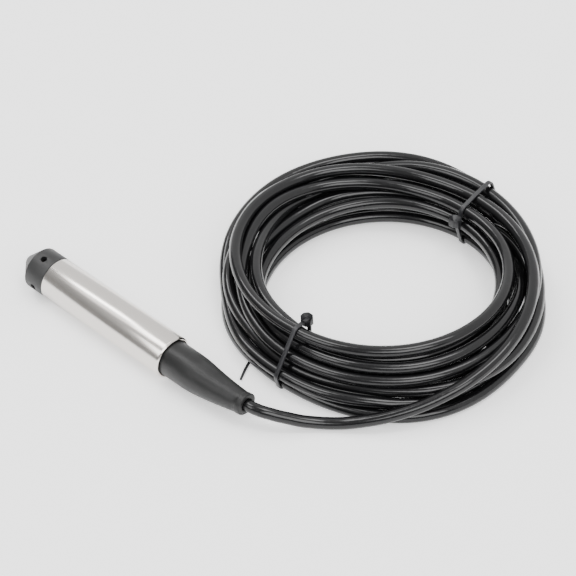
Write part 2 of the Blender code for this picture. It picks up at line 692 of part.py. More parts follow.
def strain_relief_boot():
    """The rubber boot: straight over the gland's hub, then a long taper to a rounded collar."""
    corner = TUBE_LENGTH + BOOT_STRAIGHT
    neck = BOOT_REAR - BOOT_COLLAR_LENGTH
    slope = (BOOT_RADIUS - BOOT_NECK_RADIUS) / (neck - corner)
    collar = []
    for angle in line(90.0, 0.0, CORNER_STEPS + 1):
        turn = math.radians(angle)
        collar.append((BOOT_REAR - BOOT_COLLAR_ROUNDING * (1 - math.sin(turn)),
                       BOOT_COLLAR_RADIUS - BOOT_COLLAR_ROUNDING * (1 - math.cos(turn))))
    collar.append((neck + BOOT_COLLAR_ROUNDING / 2, BOOT_COLLAR_RADIUS))
    taper = [(length, BOOT_NECK_RADIUS + slope * (neck - length))
             for length in line(neck, corner + BOOT_BLEND, BOOT_TAPER_RINGS)]
    blend = []
    for part in line(0.0, 1.0, BOOT_TAPER_RINGS)[1:]:
        length = corner + BOOT_BLEND * (1 - 2 * part)
        blend.append((length, BOOT_RADIUS - slope * BOOT_BLEND * (1 - part) ** 2))
    pocket = GLAND_HUB_RADIUS + CLEARANCE
    pocket_end = NUT_REAR + BOOT_POCKET_MARGIN
    throat = pocket_end + pocket - CABLE_BORE
    inside = [(BOOT_FRONT, pocket), (pocket_end, pocket)]
    inside += [(length, CABLE_BORE) for length in line(throat, BOOT_REAR, BOOT_TAPER_RINGS)]
    boot = turned("strain_relief_boot", collar + taper + blend + [(BOOT_FRONT, BOOT_RADIUS)] + inside,
                  "boot", FINE_STEPS)
    for vertex in boot.data.vertices:
        vertex.co.y += boot_bend(vertex.co.z)


def cable_inside():
    """The cable's own end inside the probe: its jacket, two cores and the vent tube."""
    jacket = [(0.0, boot_bend(length), length)
              for length in line(SHEATH_INNER_END, BOOT_REAR - CLEARANCE, 12)]
    round_wire("cable_sheath_end", jacket, CABLE_RADIUS, "jacket", PROBE_AXIS, CABLE_STEP, CABLE_SIDES)
    start = SHEATH_INNER_END - CLEARANCE
    block_rear = BOARD_END - TERMINAL_INSET
    seat = block_rear - TERMINAL_HOLE_DEPTH + CLEARANCE
    for name, surface, side in (("signal_core_red", "red", -1), ("signal_core_blue", "blue", 1)):
        over, across = terminal_place(side)
        lead = side * CORE_SPREAD
        round_wire(name, [(-CORE_RISE, lead, start), (-CORE_RISE, lead, start - CORE_LEAD),
                          (over, across, block_rear + CORE_LEAD), (over, across, seat)],
                   CORE_RADIUS, surface, PROBE_AXIS, CORE_STEP)
    below = BOARD_THICKNESS / 2 + 2 * CLEARANCE + VENT_RADIUS
    round_wire("vent_tube", [(VENT_OFFSET, 0.0, start), (below, 0.0, start - VENT_LENGTH / 2),
                             (below, 0.0, start - VENT_LENGTH)], VENT_RADIUS, "clear", PROBE_AXIS, CORE_STEP)


def rounded_section(half_width, half_height, rounding):
    """The corners of a rounded rectangle, clockwise from its top, as (across, up)."""
    points = []
    for across, up, start in ((1, 1, 90.0), (1, -1, 0.0), (-1, -1, -90.0), (-1, 1, -180.0)):
        for angle in line(start, start - 90.0, CORNER_STEPS + 1):
            turn = math.radians(angle)
            points.append((across * (half_width - rounding) + rounding * math.cos(turn),
                           up * (half_height - rounding) + rounding * math.sin(turn)))
    return points


def coil_section(inset):
    """The coil's section, made smaller all round by an inset."""
    return rounded_section(COIL_HALF_WIDTH - inset, COIL_HEIGHT / 2 - inset, COIL_ROUNDING - inset)


def flat_band(name, loops, width, angle, surface):
    """A flat outline with a hole, stood across the coil at an angle about the coil's axis."""
    curve = bpy.data.curves.new(name, "CURVE")
    curve.dimensions = "2D"
    curve.fill_mode = "BOTH"
    curve.extrude = width / 2
    for loop in loops:
        spline = curve.splines.new("POLY")
        spline.points.add(len(loop) - 1)
        spline.use_cyclic_u = True
        for slot, (across, up) in zip(spline.points, loop):
            slot.co = (across, up, 0.0, 1.0)
    item = place(name, curve, None)
    mesh = settle(item)
    bpy.data.objects.remove(item)
    band = place(name, mesh, surface, tie_empty(name, angle))
    return band


def tie_empty(name, angle):
    """A place on the coil's middle: local X points outwards, Y up and Z along the cable."""
    turn = math.radians(angle)
    empty = bpy.data.objects.new(f"{name}_place", None)
    empty.location = (COIL_CENTRE[0] + COIL_MIDDLE_RADIUS * math.cos(turn),
                      COIL_CENTRE[1] + COIL_MIDDLE_RADIUS * math.sin(turn), COIL_HEIGHT / 2)
    empty.rotation_euler = (math.radians(90.0), 0.0, turn)
    PARTS.objects.link(empty)
    return empty


def cable_coil():
    """The wound coil as one solid ring, pinched where each tie goes round it."""
    ring = turned("cable_coil", [(COIL_HEIGHT / 2 + up, COIL_MIDDLE_RADIUS + across)
                                 for across, up in coil_section(0.0)], "jacket", FINE_STEPS, parent=None)
    ring.location = (*COIL_CENTRE, 0.0)
    for name, angle, _ in TIES:
        outside = rounded_section(COIL_HALF_WIDTH * 2, COIL_HEIGHT, COIL_ROUNDING)
        width = TIE_HEAD[2] + 2 * CLEARANCE
        recess = flat_band(f"{name}_recess", [outside, coil_section(TIE_RECESS)], width, angle, None)
        boolean(ring, as_cutter(recess))


def cable_tie(name, angle, tail):
    """A cable tie in one piece: the strap round the coil, its head and its free tail."""
    inner = TIE_RECESS - CLEARANCE
    loops = [coil_section(inner - TIE_THICKNESS), coil_section(inner)]
    strap = flat_band(name, loops, TIE_WIDTH, angle, "nylon")
    head = block(f"{name}_head", TIE_HEAD,
                 (TIE_HEAD_INSET - COIL_HALF_WIDTH, COIL_HEIGHT / 2 - inner + TIE_HEAD[1] / 2, 0.0),
                 None, strap.parent)
    boolean(strap, as_cutter(head), "UNION")
    start = COIL_HALF_WIDTH - COIL_ROUNDING - TIE_WIDTH
    end = COIL_HALF_WIDTH + tail
    strip = block(f"{name}_tail", (end - start, TIE_THICKNESS, TIE_WIDTH),
                  ((start + end) / 2, inner - TIE_THICKNESS / 2 - COIL_HEIGHT / 2, 0.0), None, strap.parent)
    boolean(strap, as_cutter(strip), "UNION")


def cable_run():
    """The cable from the boot's mouth, down to the surface and along it to the coil."""
    mouth = Vector((TUBE_FRONT_X + BOOT_REAR, BOOT_BEND_OFFSET, TUBE_RADIUS))
    slope = 2 * BOOT_BEND_OFFSET / BOOT_BEND_LENGTH
    straight = mouth + CABLE_RADIUS * Vector((1.0, slope, 0.0))
    route = [mouth, straight, *CABLE_ROUTE]
    round_wire("cable_run", route, CABLE_RADIUS, "jacket", None, CABLE_STEP, CABLE_SIDES)


def far_end():
    """The stripped end of the cable: a shrunk sleeve, two cores and the vent tube."""
    turn = math.radians(FAR_END_ANGLE)
    reach = COIL_OUTER_RADIUS + SLEEVE_RADIUS
    height = SLEEVE_RADIUS + CLEARANCE
    empty = bpy.data.objects.new("far_end_place", None)
    empty.location = (COIL_CENTRE[0] + reach * math.cos(turn),
                      COIL_CENTRE[1] + reach * math.sin(turn), height)
    empty.rotation_euler = (math.radians(90.0), 0.0, turn + math.pi)
    PARTS.objects.link(empty)
    end = SLEEVE_LENGTH / 2
    turned("far_end_sleeve", [
        (end, 0.0),
        (end, SLEEVE_RADIUS - SLEEVE_SHOULDER),
        (end - SLEEVE_SHOULDER, SLEEVE_RADIUS),
        (-end, SLEEVE_RADIUS),
        (-end, CABLE_BORE),
        (SLEEVE_BORE_DEPTH - end, CABLE_BORE),
        (SLEEVE_BORE_DEPTH - end, 0.0),
    ], "seal", closed=False, parent=empty)
    wires = (("far_core_red", "red", -1, CORE_RADIUS), ("far_vent_tube", "clear", 0, VENT_RADIUS),
             ("far_core_blue", "blue", 1, CORE_RADIUS))
    for name, surface, side, radius in wires:
        floor = radius + CLEARANCE - height
        across = side * SLEEVE_SHOULDER
        spread = side * FAR_CORE_SPREAD
        route = [(across, 0.0, end + CLEARANCE),
                 (across + spread / 4, floor / 3, end + FAR_CORE_LENGTH / 4),
                 (across + spread / 2, floor, end + FAR_CORE_LENGTH / 2),
                 (across + spread, floor, end + FAR_CORE_LENGTH)]
        round_wire(name, route, radius, surface, empty, FAR_CORE_STEP)


nose_cap()
housing_tube()
sensor_port()
sensor_cell()
cell_retaining_ring()
circuit_board()
terminal_block()
sensor_lead_strip()
gland_body()
cable_gland_fittings()
strain_relief_boot()
cable_inside()
cable_coil()
for tie_name, tie_angle, tie_tail in TIES:
    cable_tie(tie_name, tie_angle, tie_tail)
cable_run()
far_end()
bpy.context.view_layer.update()
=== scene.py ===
# %% [markdown]
# # A submersible level transmitter, finished for a picture
# A steel probe hangs in a well or a tank on its own cable and reports the height of the liquid above it.
# Here it lies on a table beside its coil, as it comes from its box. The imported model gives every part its
# place, so the first step loads it. The lesson then makes the camera, the cable and the finer outer
# parts, and ends with the finishes of all of them.

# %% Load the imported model
import json
import math

import bmesh
import bpy
import numpy as np
from mathutils import Matrix, Vector
from mathutils.geometry import convex_hull_2d


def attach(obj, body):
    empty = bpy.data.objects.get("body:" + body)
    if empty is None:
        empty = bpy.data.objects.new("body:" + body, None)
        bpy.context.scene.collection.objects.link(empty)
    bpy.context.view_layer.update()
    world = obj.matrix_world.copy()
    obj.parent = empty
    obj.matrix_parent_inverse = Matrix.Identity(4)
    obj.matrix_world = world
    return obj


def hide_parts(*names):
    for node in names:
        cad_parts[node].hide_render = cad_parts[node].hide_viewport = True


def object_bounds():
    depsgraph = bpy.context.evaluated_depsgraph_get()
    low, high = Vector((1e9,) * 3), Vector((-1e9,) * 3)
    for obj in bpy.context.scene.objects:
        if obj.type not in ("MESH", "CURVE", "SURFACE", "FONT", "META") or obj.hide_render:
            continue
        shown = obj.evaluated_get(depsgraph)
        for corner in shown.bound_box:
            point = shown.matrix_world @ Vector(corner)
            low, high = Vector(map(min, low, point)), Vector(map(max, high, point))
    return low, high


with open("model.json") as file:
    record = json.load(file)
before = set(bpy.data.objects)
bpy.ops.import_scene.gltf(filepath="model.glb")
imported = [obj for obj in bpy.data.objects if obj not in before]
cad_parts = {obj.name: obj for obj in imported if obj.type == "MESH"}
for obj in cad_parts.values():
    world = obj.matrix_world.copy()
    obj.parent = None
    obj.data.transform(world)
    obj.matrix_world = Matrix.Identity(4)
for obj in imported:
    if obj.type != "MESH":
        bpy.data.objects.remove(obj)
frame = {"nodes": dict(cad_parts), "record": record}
cad_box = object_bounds()
nodes = frame["nodes"]
MM = 0.001
cad_size = [round((high - low) / MM, 1) for low, high in zip(*cad_box)]
print(len(nodes), "packed parts,", cad_size, "mm overall")

# %% [markdown]
# ## The camera
# A long lens far away keeps the ellipse of the coil as flat as the photograph shows it. The camera stands
# in front of the probe's cable end and looks down at a little over 40 degrees. It could be aimed with a
# constraint, but a plain rotation worked out once from two points leaves nothing live in the scene.

# %% Camera
AIM = Vector((40.8, 94.4, 14.0)) * MM
EYE = Vector((1117.7, -1018.0, 1432.7)) * MM
SENSOR_WIDTH = 36.0
FOCAL_LENGTH = 209.96
FARTHEST_SEEN = 20.0
camera_data = bpy.data.cameras.new("studio_camera")
camera_data.sensor_width = SENSOR_WIDTH
camera_data.lens = FOCAL_LENGTH
camera_data.clip_end = FARTHEST_SEEN
camera = bpy.data.objects.new("studio_camera", camera_data)
camera.location = EYE
camera.rotation_euler = (AIM - EYE).to_track_quat("-Z", "Y").to_euler()
bpy.context.scene.collection.objects.link(camera)
bpy.context.scene.camera = camera
print("camera", round((AIM - EYE).length, 3), "m from the object")

# %% [markdown]
# ## The lay of the cable
# The probe hangs on its cable, so the cable is sold by length, and about five metres of it are wound here
# into a loose coil. Nobody winds a cable by eye in neat rings: each turn wanders from the inside of the
# bundle to its outside and passes over and under the others. A spring simulation would take long to find
# this, so the wanderings are listed instead: for every turn, the distance from the coil's middle and the
# height above the table, every 30 degrees. Another script settled the first draft of this list, from places
# read along the strands in a picture. More than half of its numbers have been changed since, and the others
# are as that draft gave them. Before the coil the cable runs along the table, and after it a short tail
# leads to the sleeve at its far end. All of these are millimetres.

# %% The cable's wanderings
CABLE_RADIUS = 3.95
COIL_MIDDLE = (84.5, 133.0)
BOOT_MOUTH = (95.5, 2.4, 14.0)
RUN = [
    BOOT_MOUTH, (99.5, 2.95, 14.0), (105.2, 5.2, 13.1), (109.2, 8.0, 11.9), (113.0, 11.2, 10.3),
    (117.4, 15.4, 8.5), (122.9, 20.6, 6.3), (128.5, 26.4, 4.8), (134.3, 31.8, 4.2), (141.0, 37.6, 4.6),
    (147.4, 43.2, 6.0), (153.9, 49.6, 7.7), (160.4, 57.3, 9.5), (168.3, 68.7, 12.4),
]
FIRST_LANE = -30.0
LANE_ANGLE = 30.0
LANES = [
    (104.2, 15.4), (100.1, 27.2), (95.0, 33.9), (91.5, 34.4), (90.3, 32.8), (91.5, 32.7),
    (96.6, 33.6), (97.6, 34.4), (93.4, 35.4), (86.2, 35.6), (80.9, 36.2), (79.2, 36.3),
    (78.8, 36.5), (78.6, 36.2), (78.6, 34.7), (78.8, 32.7), (79.2, 30.0), (82.7, 28.4),
    (88.4, 28.9), (90.8, 30.8), (87.6, 28.7), (87.7, 25.4), (87.5, 22.3), (88.6, 21.9),
    (90.3, 21.5), (91.3, 22.8), (94.6, 25.5), (97.4, 28.5), (100.5, 32.0), (100.9, 32.6),
    (98.5, 25.7), (97.3, 25.4), (97.3, 23.2), (92.9, 17.6), (88.6, 14.0), (87.8, 14.2),
    (93.3, 13.8), (99.4, 16.4), (96.8, 18.2), (96.6, 19.5), (103.5, 25.0), (109.6, 30.2),
    (107.8, 31.0), (104.6, 29.8), (98.3, 20.5), (94.6, 10.6), (95.2, 10.8), (97.0, 11.3),
    (95.8, 6.9), (96.9, 9.2), (94.6, 15.1), (94.6, 15.5), (92.0, 9.0), (88.2, 5.6),
    (88.5, 5.5), (93.0, 5.6), (95.6, 6.0), (96.2, 4.2), (94.6, 4.0), (96.6, 4.0),
    (103.0, 4.0), (97.4, 4.0), (99.8, 4.3), (98.0, 9.6), (99.0, 17.0), (100.2, 20.3),
    (98.0, 20.5), (88.5, 24.2), (80.0, 29.0), (76.6, 30.0), (74.8, 28.7), (75.7, 27.7),
    (76.5, 27.1), (75.0, 25.6), (74.2, 22.8), (75.2, 21.4), (76.6, 21.0), (77.1, 21.1),
    (76.2, 19.4), (76.1, 17.0), (76.8, 14.3), (77.0, 15.0), (78.6, 18.2), (80.0, 19.4),
    (80.6, 19.4), (78.3, 17.2), (78.4, 11.5), (80.0, 8.5), (80.7, 7.8), (79.9, 6.9),
    (78.4, 5.9), (77.0, 5.1), (77.1, 4.3), (78.3, 4.2), (79.9, 4.5), (81.9, 5.6),
    (83.5, 8.4), (84.4, 12.2), (82.6, 15.3), (81.0, 15.2), (84.8, 17.0), (86.9, 19.5),
    (86.7, 19.9), (84.8, 18.6), (83.3, 18.0), (80.3, 22.3), (80.8, 26.7), (83.6, 28.2),
    (85.5, 28.3), (85.3, 28.2), (85.5, 25.4), (88.1, 15.8), (96.4, 7.0),
]
TAIL = [
    (56.0, 235.6, 5.2), (45.5, 232.5, 5.0), (40.31, 229.54, 5.0), (34.9, 226.4, 5.0), (29.3, 223.2, 5.0),
]
print(round(len(LANES) * LANE_ANGLE / 360, 1), "turns")

# %% [markdown]
# Between two written places the cable bends smoothly. A cubic curve through four neighbours gives that,
# and it can be written once for any list of points.

# %% A smooth line through points
def smooth_line(points, parts):
    """Points on a cubic curve through the given ones, with so many parts between two of them."""
    p = np.asarray(points, float)
    p = np.vstack([2 * p[0] - p[1], p, 2 * p[-1] - p[-2]])
    t = np.arange(parts)[:, None] / parts
    spans = []
    for a, b, c, d in zip(p[:-3], p[1:-2], p[2:-1], p[3:]):
        spans.append(0.5 * (2 * b + (c - a) * t + (2 * a - 5 * b + 4 * c - d) * t ** 2
                            + (3 * b - a - 3 * c + d) * t ** 3))
    return np.vstack(spans + [p[-2:-1]])


# %% [markdown]
# Two turns can't share a place, and none can be in the table. So the turns are compared where they pass
# the same angle, and any two that are closer than a cable's thickness are pushed apart a little, over and
# over, while the cable's own stiffness keeps its line smooth. The lowest turns rest on the table, and rise
# over the straps of the ties and over the loose tail of one of them, which pass below.

# %% How low a turn may lie
ABOVE_TABLE = 0.05
FRONT_TIE_ANGLE, BACK_TIE_ANGLE = -86.5, 91.0
TIE_TAIL_ANGLE = -103.0
STRAP_UNDER = 1.35
RISE_WIDTH = 8.0


def table_height(angles):
    """How high the cable's middle must be at each angle, in degrees."""
    height = np.full(len(angles), CABLE_RADIUS + ABOVE_TABLE)
    for place in (TIE_TAIL_ANGLE, FRONT_TIE_ANGLE, BACK_TIE_ANGLE):
        off = (angles - place + 180.0) % 360.0 - 180.0
        height += STRAP_UNDER * np.exp(-(off / RISE_WIDTH) ** 2)
    return height


# %% [markdown]
# The settling takes under a second and gives the same coil every time, because nothing in it is random. At
# first each turn is drawn back to its written place; later that pull fades, and contact decides.

# %% Let the turns settle
SAMPLES = 6
TOUCH = 7.85
ROUNDS = 300
PASSES = 4
STIFFNESS = 0.2
FIRST_PULL, LAST_PULL = 0.05, 0.003
PUSH_SHARE = 0.45


def turn_pairs(count, per_turn):
    """Indices of all pairs of places that pass the same angle in different turns."""
    pairs = [(index, other) for index in range(count) for other in range(index + per_turn, count, per_turn)]
    return np.array(pairs).T


def settle_turns(lanes):
    """Moves the turns' radius and height until they lie beside and on each other."""
    places = smooth_line(lanes, SAMPLES)
    wish = places.copy()
    lowest = table_height(FIRST_LANE + np.arange(len(places)) * LANE_ANGLE / SAMPLES)
    first, second = turn_pairs(len(places), int(360 / LANE_ANGLE * SAMPLES))
    for step in range(ROUNDS):
        bow = np.zeros_like(places)
        bow[1:-1] = (places[:-2] + places[2:]) / 2 - places[1:-1]
        stiff = np.zeros_like(places)
        stiff[2:-2] = bow[2:-2] - (bow[1:-3] + bow[3:-1]) / 2
        pull = FIRST_PULL * (1 - step / ROUNDS) + LAST_PULL
        moved = places + STIFFNESS * stiff + pull * (wish - places)
        for _ in range(PASSES):
            gap = moved[second] - moved[first]
            apart = np.hypot(gap[:, 0], gap[:, 1])
            close = apart < TOUCH
            away = gap[close] / np.maximum(apart[close], 0.1)[:, None]
            push = away * ((TOUCH - apart[close]) * PUSH_SHARE)[:, None]
            np.add.at(moved, second[close], push)
            np.add.at(moved, first[close], -push)
            moved[:, 1] = np.maximum(moved[:, 1], lowest)
        moved[:2], moved[-2:] = wish[:2], wish[-2:]
        places = moved
    gap = places[second] - places[first]
    print("closest turns", round(float(np.hypot(gap[:, 0], gap[:, 1]).min()), 2), "mm apart")
    return places


turns = settle_turns(LANES)

# %% The whole line of the cable
turn_angles = np.radians(FIRST_LANE + np.arange(len(turns)) * LANE_ANGLE / SAMPLES)
wound = np.stack([COIL_MIDDLE[0] + turns[:, 0] * np.cos(turn_angles),
                  COIL_MIDDLE[1] + turns[:, 0] * np.sin(turn_angles), turns[:, 1]], 1)
cable_line = smooth_line(np.vstack([RUN, wound[:-1:2], TAIL]), 4)

# %% [markdown]
# ## The cable
# The cable is round, with a glossy polyurethane jacket over two cores and a breathing tube. A curve with a
# round bevel makes it in one go. It stays a single line with two ends, so it can be measured, and its
# surface has enough sides for its highlights to run smoothly.

# %% The cable as one curve
def wire(name, points, radius, sides=3):
    """A round wire or cable along points in millimetres, as one open curve."""
    curve = bpy.data.curves.new(name, "CURVE")
    curve.dimensions = "3D"
    curve.bevel_depth = radius
    curve.bevel_resolution = sides
    curve.use_fill_caps = True
    spline = curve.splines.new("POLY")
    spline.points.add(len(points) - 1)
    flat = np.hstack([np.asarray(points, float) * MM, np.ones((len(points), 1))])
    spline.points.foreach_set("co", flat.ravel())
    spline.points.foreach_set("radius", [MM] * len(points))
    spline.use_smooth = True
    item = bpy.data.objects.new(name, curve)
    bpy.context.scene.collection.objects.link(item)
    return item


cable = wire("cable", cable_line, CABLE_RADIUS, 4)
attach(cable, "housing")
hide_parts("cable_run", "cable_coil")

# %% [markdown]
# ## Turned parts
# The tube, the cap and the boot are round about one axis, so each is drawn once as half a section and
# spun a full turn. Stations run along the probe from the tube's front edge, which makes the numbers the
# same as on a workshop drawing. A second helper rounds sharp edges, and a third makes a finished mesh a
# piece of the picture that rides on its body.

# %% Spin a section about the probe's axis
TUBE_FRONT = -69.0925
AXIS_HEIGHT = 14.0
AXIS = Vector((0.0, 0.0, AXIS_HEIGHT)) * MM
TURNED_STEPS = 128
SAME_PLACE = 1e-7


def close_seams(bm):
    """Joins the vertices that a spin leaves in one place, and turns the faces outwards."""
    bmesh.ops.remove_doubles(bm, verts=bm.verts, dist=SAME_PLACE)
    bmesh.ops.recalc_face_normals(bm, faces=bm.faces)


def spun(section, closed=True):
    """A bmesh of a section of (station, radius) in millimetres, spun about the probe's axis."""
    bm = bmesh.new()
    corners = [bm.verts.new(((TUBE_FRONT + s) * MM, 0.0, (AXIS_HEIGHT + r) * MM)) for s, r in section]
    sides = [bm.edges.new(pair) for pair in zip(corners, corners[1:])]
    if closed:
        sides.append(bm.edges.new((corners[-1], corners[0])))
    bmesh.ops.spin(bm, geom=corners + sides, cent=AXIS, axis=(1, 0, 0), angle=math.tau,
                   steps=TURNED_STEPS, use_merge=True)
    close_seams(bm)
    return bm


# %% Finish a mesh as a piece
def soften(bm, width, angle, where=lambda edge: True):
    """Bevels the edges sharper than an angle by a width, as a tool or a mould leaves them."""
    sharp = [e for e in bm.edges if len(e.link_faces) == 2 and where(e)
             and e.calc_face_angle(0.0) > math.radians(angle)]
    bmesh.ops.bevel(bm, geom=sharp, offset=width, segments=2, profile=0.5, affect="EDGES",
                    material=-1, clamp_overlap=True)


def piece(name, bm, replaces, body="housing", crease=32.0):
    """Turns a bmesh into a finished piece that rides on a body."""
    mesh = bpy.data.meshes.new(name)
    bm.to_mesh(mesh)
    bm.free()
    mesh.shade_smooth()
    mesh.set_sharp_from_angle(angle=math.radians(crease))
    item = bpy.data.objects.new(name, mesh)
    bpy.context.scene.collection.objects.link(item)
    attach(item, body)
    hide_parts(replaces)
    print(name, len(mesh.polygons), "faces")
    return item


# %% [markdown]
# ### The steel tube
# The tube is cut from drawn stainless pipe. Its front is turned in to a lip that holds the port, and its
# rear rim has a bright bevel of a millimetre. The section starts at that rim and goes round the wall.

# %% Steel tube
TUBE_LENGTH, TUBE_RADIUS, TUBE_BORE = 103.5, 14.0, 12.5
LIP_LENGTH, LIP_BORE = 1.5, 11.3
tube_section = [
    (TUBE_LENGTH, TUBE_RADIUS - 0.95), (TUBE_LENGTH - 0.1, TUBE_RADIUS - 0.8),
    (TUBE_LENGTH - 0.9, TUBE_RADIUS - 0.05), (TUBE_LENGTH - 1.05, TUBE_RADIUS),
    (0.35, TUBE_RADIUS), (0.05, TUBE_RADIUS - 0.15), (0.0, TUBE_RADIUS - 0.3),
    (0.0, LIP_BORE), (LIP_LENGTH, LIP_BORE), (LIP_LENGTH, TUBE_BORE),
    (TUBE_LENGTH - 0.15, TUBE_BORE), (TUBE_LENGTH, TUBE_BORE + 0.15),
]
tube = piece("steel_tube", spun(tube_section), replaces="housing_tube")

# %% [markdown]
# ### The nose cap
# The cap keeps the soft diaphragm from knocks, and four holes let the liquid in. It is turned from dark
# plastic: a skirt with a fine thread inside, a cone and a rounded tip. Its section starts inside the tip,
# runs back along the chamber and the thread to the rear edge, and then forward along the outside.

# %% Cap section
CAP_RADIUS, CAP_BORE, CHAMBER_RADIUS = 13.9, 11.3, 10.4
CAP_REAR, SKIRT_END, CHAMBER_FRONT = -0.3, -5.7, -14.257
CONE_INSIDE = [(-21.19, 0.0), (-21.19, 3.467)]
CONE_REAR = -14.6
THREAD_START, THREAD_PITCH, THREAD_TURNS, THREAD_DEPTH = -1.2, 0.9, 5, 0.12
TIP_MIDDLE, TIP_RADIUS = (-20.415, 0.0), 6.0


def arc(centre, radius, start, end, steps):
    """Section points on an arc, as (station, radius)."""
    return [(centre[0] - radius * math.cos(a), centre[1] + radius * math.sin(a))
            for a in np.radians(np.linspace(start, end, steps))]


cap_tip = [(station, max(height, 0.0)) for station, height in arc(TIP_MIDDLE, TIP_RADIUS, 45.0, 0.0, 10)]
cap_thread = []
for turn_number in range(THREAD_TURNS):
    start, groove = THREAD_START - THREAD_PITCH * turn_number, CAP_BORE + THREAD_DEPTH
    cap_thread += [(start, CAP_BORE), (start - 0.25, groove),
                   (start - 0.45, groove), (start - 0.7, CAP_BORE)]
cap_mesh = spun([
    *CONE_INSIDE, (CHAMBER_FRONT, CHAMBER_RADIUS), (SKIRT_END, CHAMBER_RADIUS), (SKIRT_END, CAP_BORE),
    *reversed(cap_thread), (CAP_REAR, CAP_BORE),
    (CAP_REAR, CAP_RADIUS - 0.3), (CAP_REAR - 0.1, CAP_RADIUS - 0.1), (CAP_REAR - 0.35, CAP_RADIUS),
    (CONE_REAR, CAP_RADIUS), (CONE_REAR - 0.35, CAP_RADIUS - 0.08), (CONE_REAR - 0.6, CAP_RADIUS - 0.3),
    *cap_tip,
], closed=False)
print("cap section spun,", len(cap_mesh.verts), "vertices")

# %% [markdown]
# The four holes are two drillings right across. They could be cut by knife projection, but a Boolean with
# two plain drills leaves exact rims, which are then bevelled as a countersink leaves them.

# %% Cap drillings
HOLE_STATION = -8.1
HOLE_RADIUS = 2.1
HOLE_ANGLES = (13.0, 103.0)
DRILL_LENGTH = 40.0
COUNTERSINK = 0.22


def drill(angle):
    """A long round bar across the probe's axis at an angle, to cut with."""
    bm = bmesh.new()
    bmesh.ops.create_cone(bm, cap_ends=True, segments=48, radius1=HOLE_RADIUS * MM,
                          radius2=HOLE_RADIUS * MM, depth=DRILL_LENGTH * MM)
    bmesh.ops.rotate(bm, verts=bm.verts, cent=(0, 0, 0),
                     matrix=Matrix.Rotation(math.radians(angle), 3, "X"))
    bmesh.ops.translate(bm, verts=bm.verts, vec=((TUBE_FRONT + HOLE_STATION) * MM, 0, AXIS_HEIGHT * MM))
    return bm


def loose_item(name, bm):
    """A plain object of a bmesh, linked to the scene, for a step in between."""
    item = bpy.data.objects.new(name, bpy.data.meshes.new(name))
    bm.to_mesh(item.data)
    bm.free()
    bpy.context.scene.collection.objects.link(item)
    return item


def cut(blank, cutters):
    """The blank's mesh with each of the cutters' shapes taken away."""
    item = loose_item("blank", blank)
    tools = []
    for bm in cutters:
        cutter = loose_item("cutter", bm)
        modifier = item.modifiers.new("cut", "BOOLEAN")
        modifier.operation = "DIFFERENCE"
        modifier.solver = "EXACT"
        modifier.object = cutter
        tools.append(cutter)
    result = bmesh.new()
    evaluated = item.evaluated_get(bpy.context.evaluated_depsgraph_get())
    result.from_mesh(bpy.data.meshes.new_from_object(evaluated))
    for extra in tools + [item]:
        bpy.data.objects.remove(extra)
    return result


def on_hole_rim(edge):
    """Whether an edge lies where a drilling breaks through the cap's outer skin."""
    middle = (edge.verts[0].co + edge.verts[1].co) / 2
    station = middle.x / MM - TUBE_FRONT
    radius = math.hypot(middle.y / MM, middle.z / MM - AXIS_HEIGHT)
    return abs(station - HOLE_STATION) < HOLE_RADIUS + 0.1 and radius > CAP_RADIUS - 0.4


cap_mesh = cut(cap_mesh, [drill(hole_angle) for hole_angle in HOLE_ANGLES])
soften(cap_mesh, COUNTERSINK * MM, 40.0, on_hole_rim)
cap = piece("cap", cap_mesh, body="nose_cap", replaces="nose_cap")

# %% [markdown]
# ### The strain relief boot
# A rubber boot slides over the gland and stops the cable from kinking where it leaves the steel. It is
# straight for two centimetres, tapers to a collar and follows the cable's pull at its tip. The section is
# spun straight and then bent, because a bend is easier to give to a finished shape than to draw.

# %% Boot
BOOT_FRONT, BOOT_CORNER, BOOT_NECK, BOOT_END = 101.7, 124.5, 160.6, 164.6
BOOT_RADIUS, NECK_RADIUS, COLLAR_RADIUS, COLLAR_ROUND = 11.9, 7.2, 7.5, 0.9
HUB_RADIUS, HUB_END, THROAT_RADIUS, THROAT_START = 8.9, 121.6, 4.3, 126.2
SHOULDER = 6.0
BEND_START, BEND_LENGTH, BEND_REACH = 129.6, 35.0, 2.4


def boot_section():
    """The boot's outer line from the collar to its front, then its pocket and its throat."""
    slope = (BOOT_RADIUS - NECK_RADIUS) / (BOOT_NECK - BOOT_CORNER)
    collar = [(BOOT_END - COLLAR_ROUND * (1 - math.sin(a)),
               COLLAR_RADIUS - COLLAR_ROUND * (1 - math.cos(a)))
              for a in np.radians(np.linspace(90, 0, 7))]
    lip = [(BOOT_NECK + 0.9, COLLAR_RADIUS), (BOOT_NECK + 0.45, COLLAR_RADIUS - 0.06),
           (BOOT_NECK + 0.15, NECK_RADIUS + 0.1)]
    taper = [(s, NECK_RADIUS + slope * (BOOT_NECK - s))
             for s in np.linspace(BOOT_NECK, BOOT_CORNER + SHOULDER, 14)]
    shoulder = [(BOOT_CORNER + SHOULDER * (1 - 2 * p), BOOT_RADIUS - slope * SHOULDER * (1 - p) ** 2)
                for p in np.linspace(0.0, 1.0, 9)[1:]]
    front = [(BOOT_FRONT + 0.7, BOOT_RADIUS), (BOOT_FRONT + 0.2, BOOT_RADIUS - 0.15),
             (BOOT_FRONT, BOOT_RADIUS - 0.5)]
    throat = [(s, THROAT_RADIUS) for s in np.linspace(131, 164.0, 9)]
    inside = [(BOOT_FRONT, HUB_RADIUS), (HUB_END, HUB_RADIUS), (THROAT_START, THROAT_RADIUS), *throat,
              (BOOT_END, THROAT_RADIUS + 0.3)]
    return collar + lip + taper + shoulder + front + inside


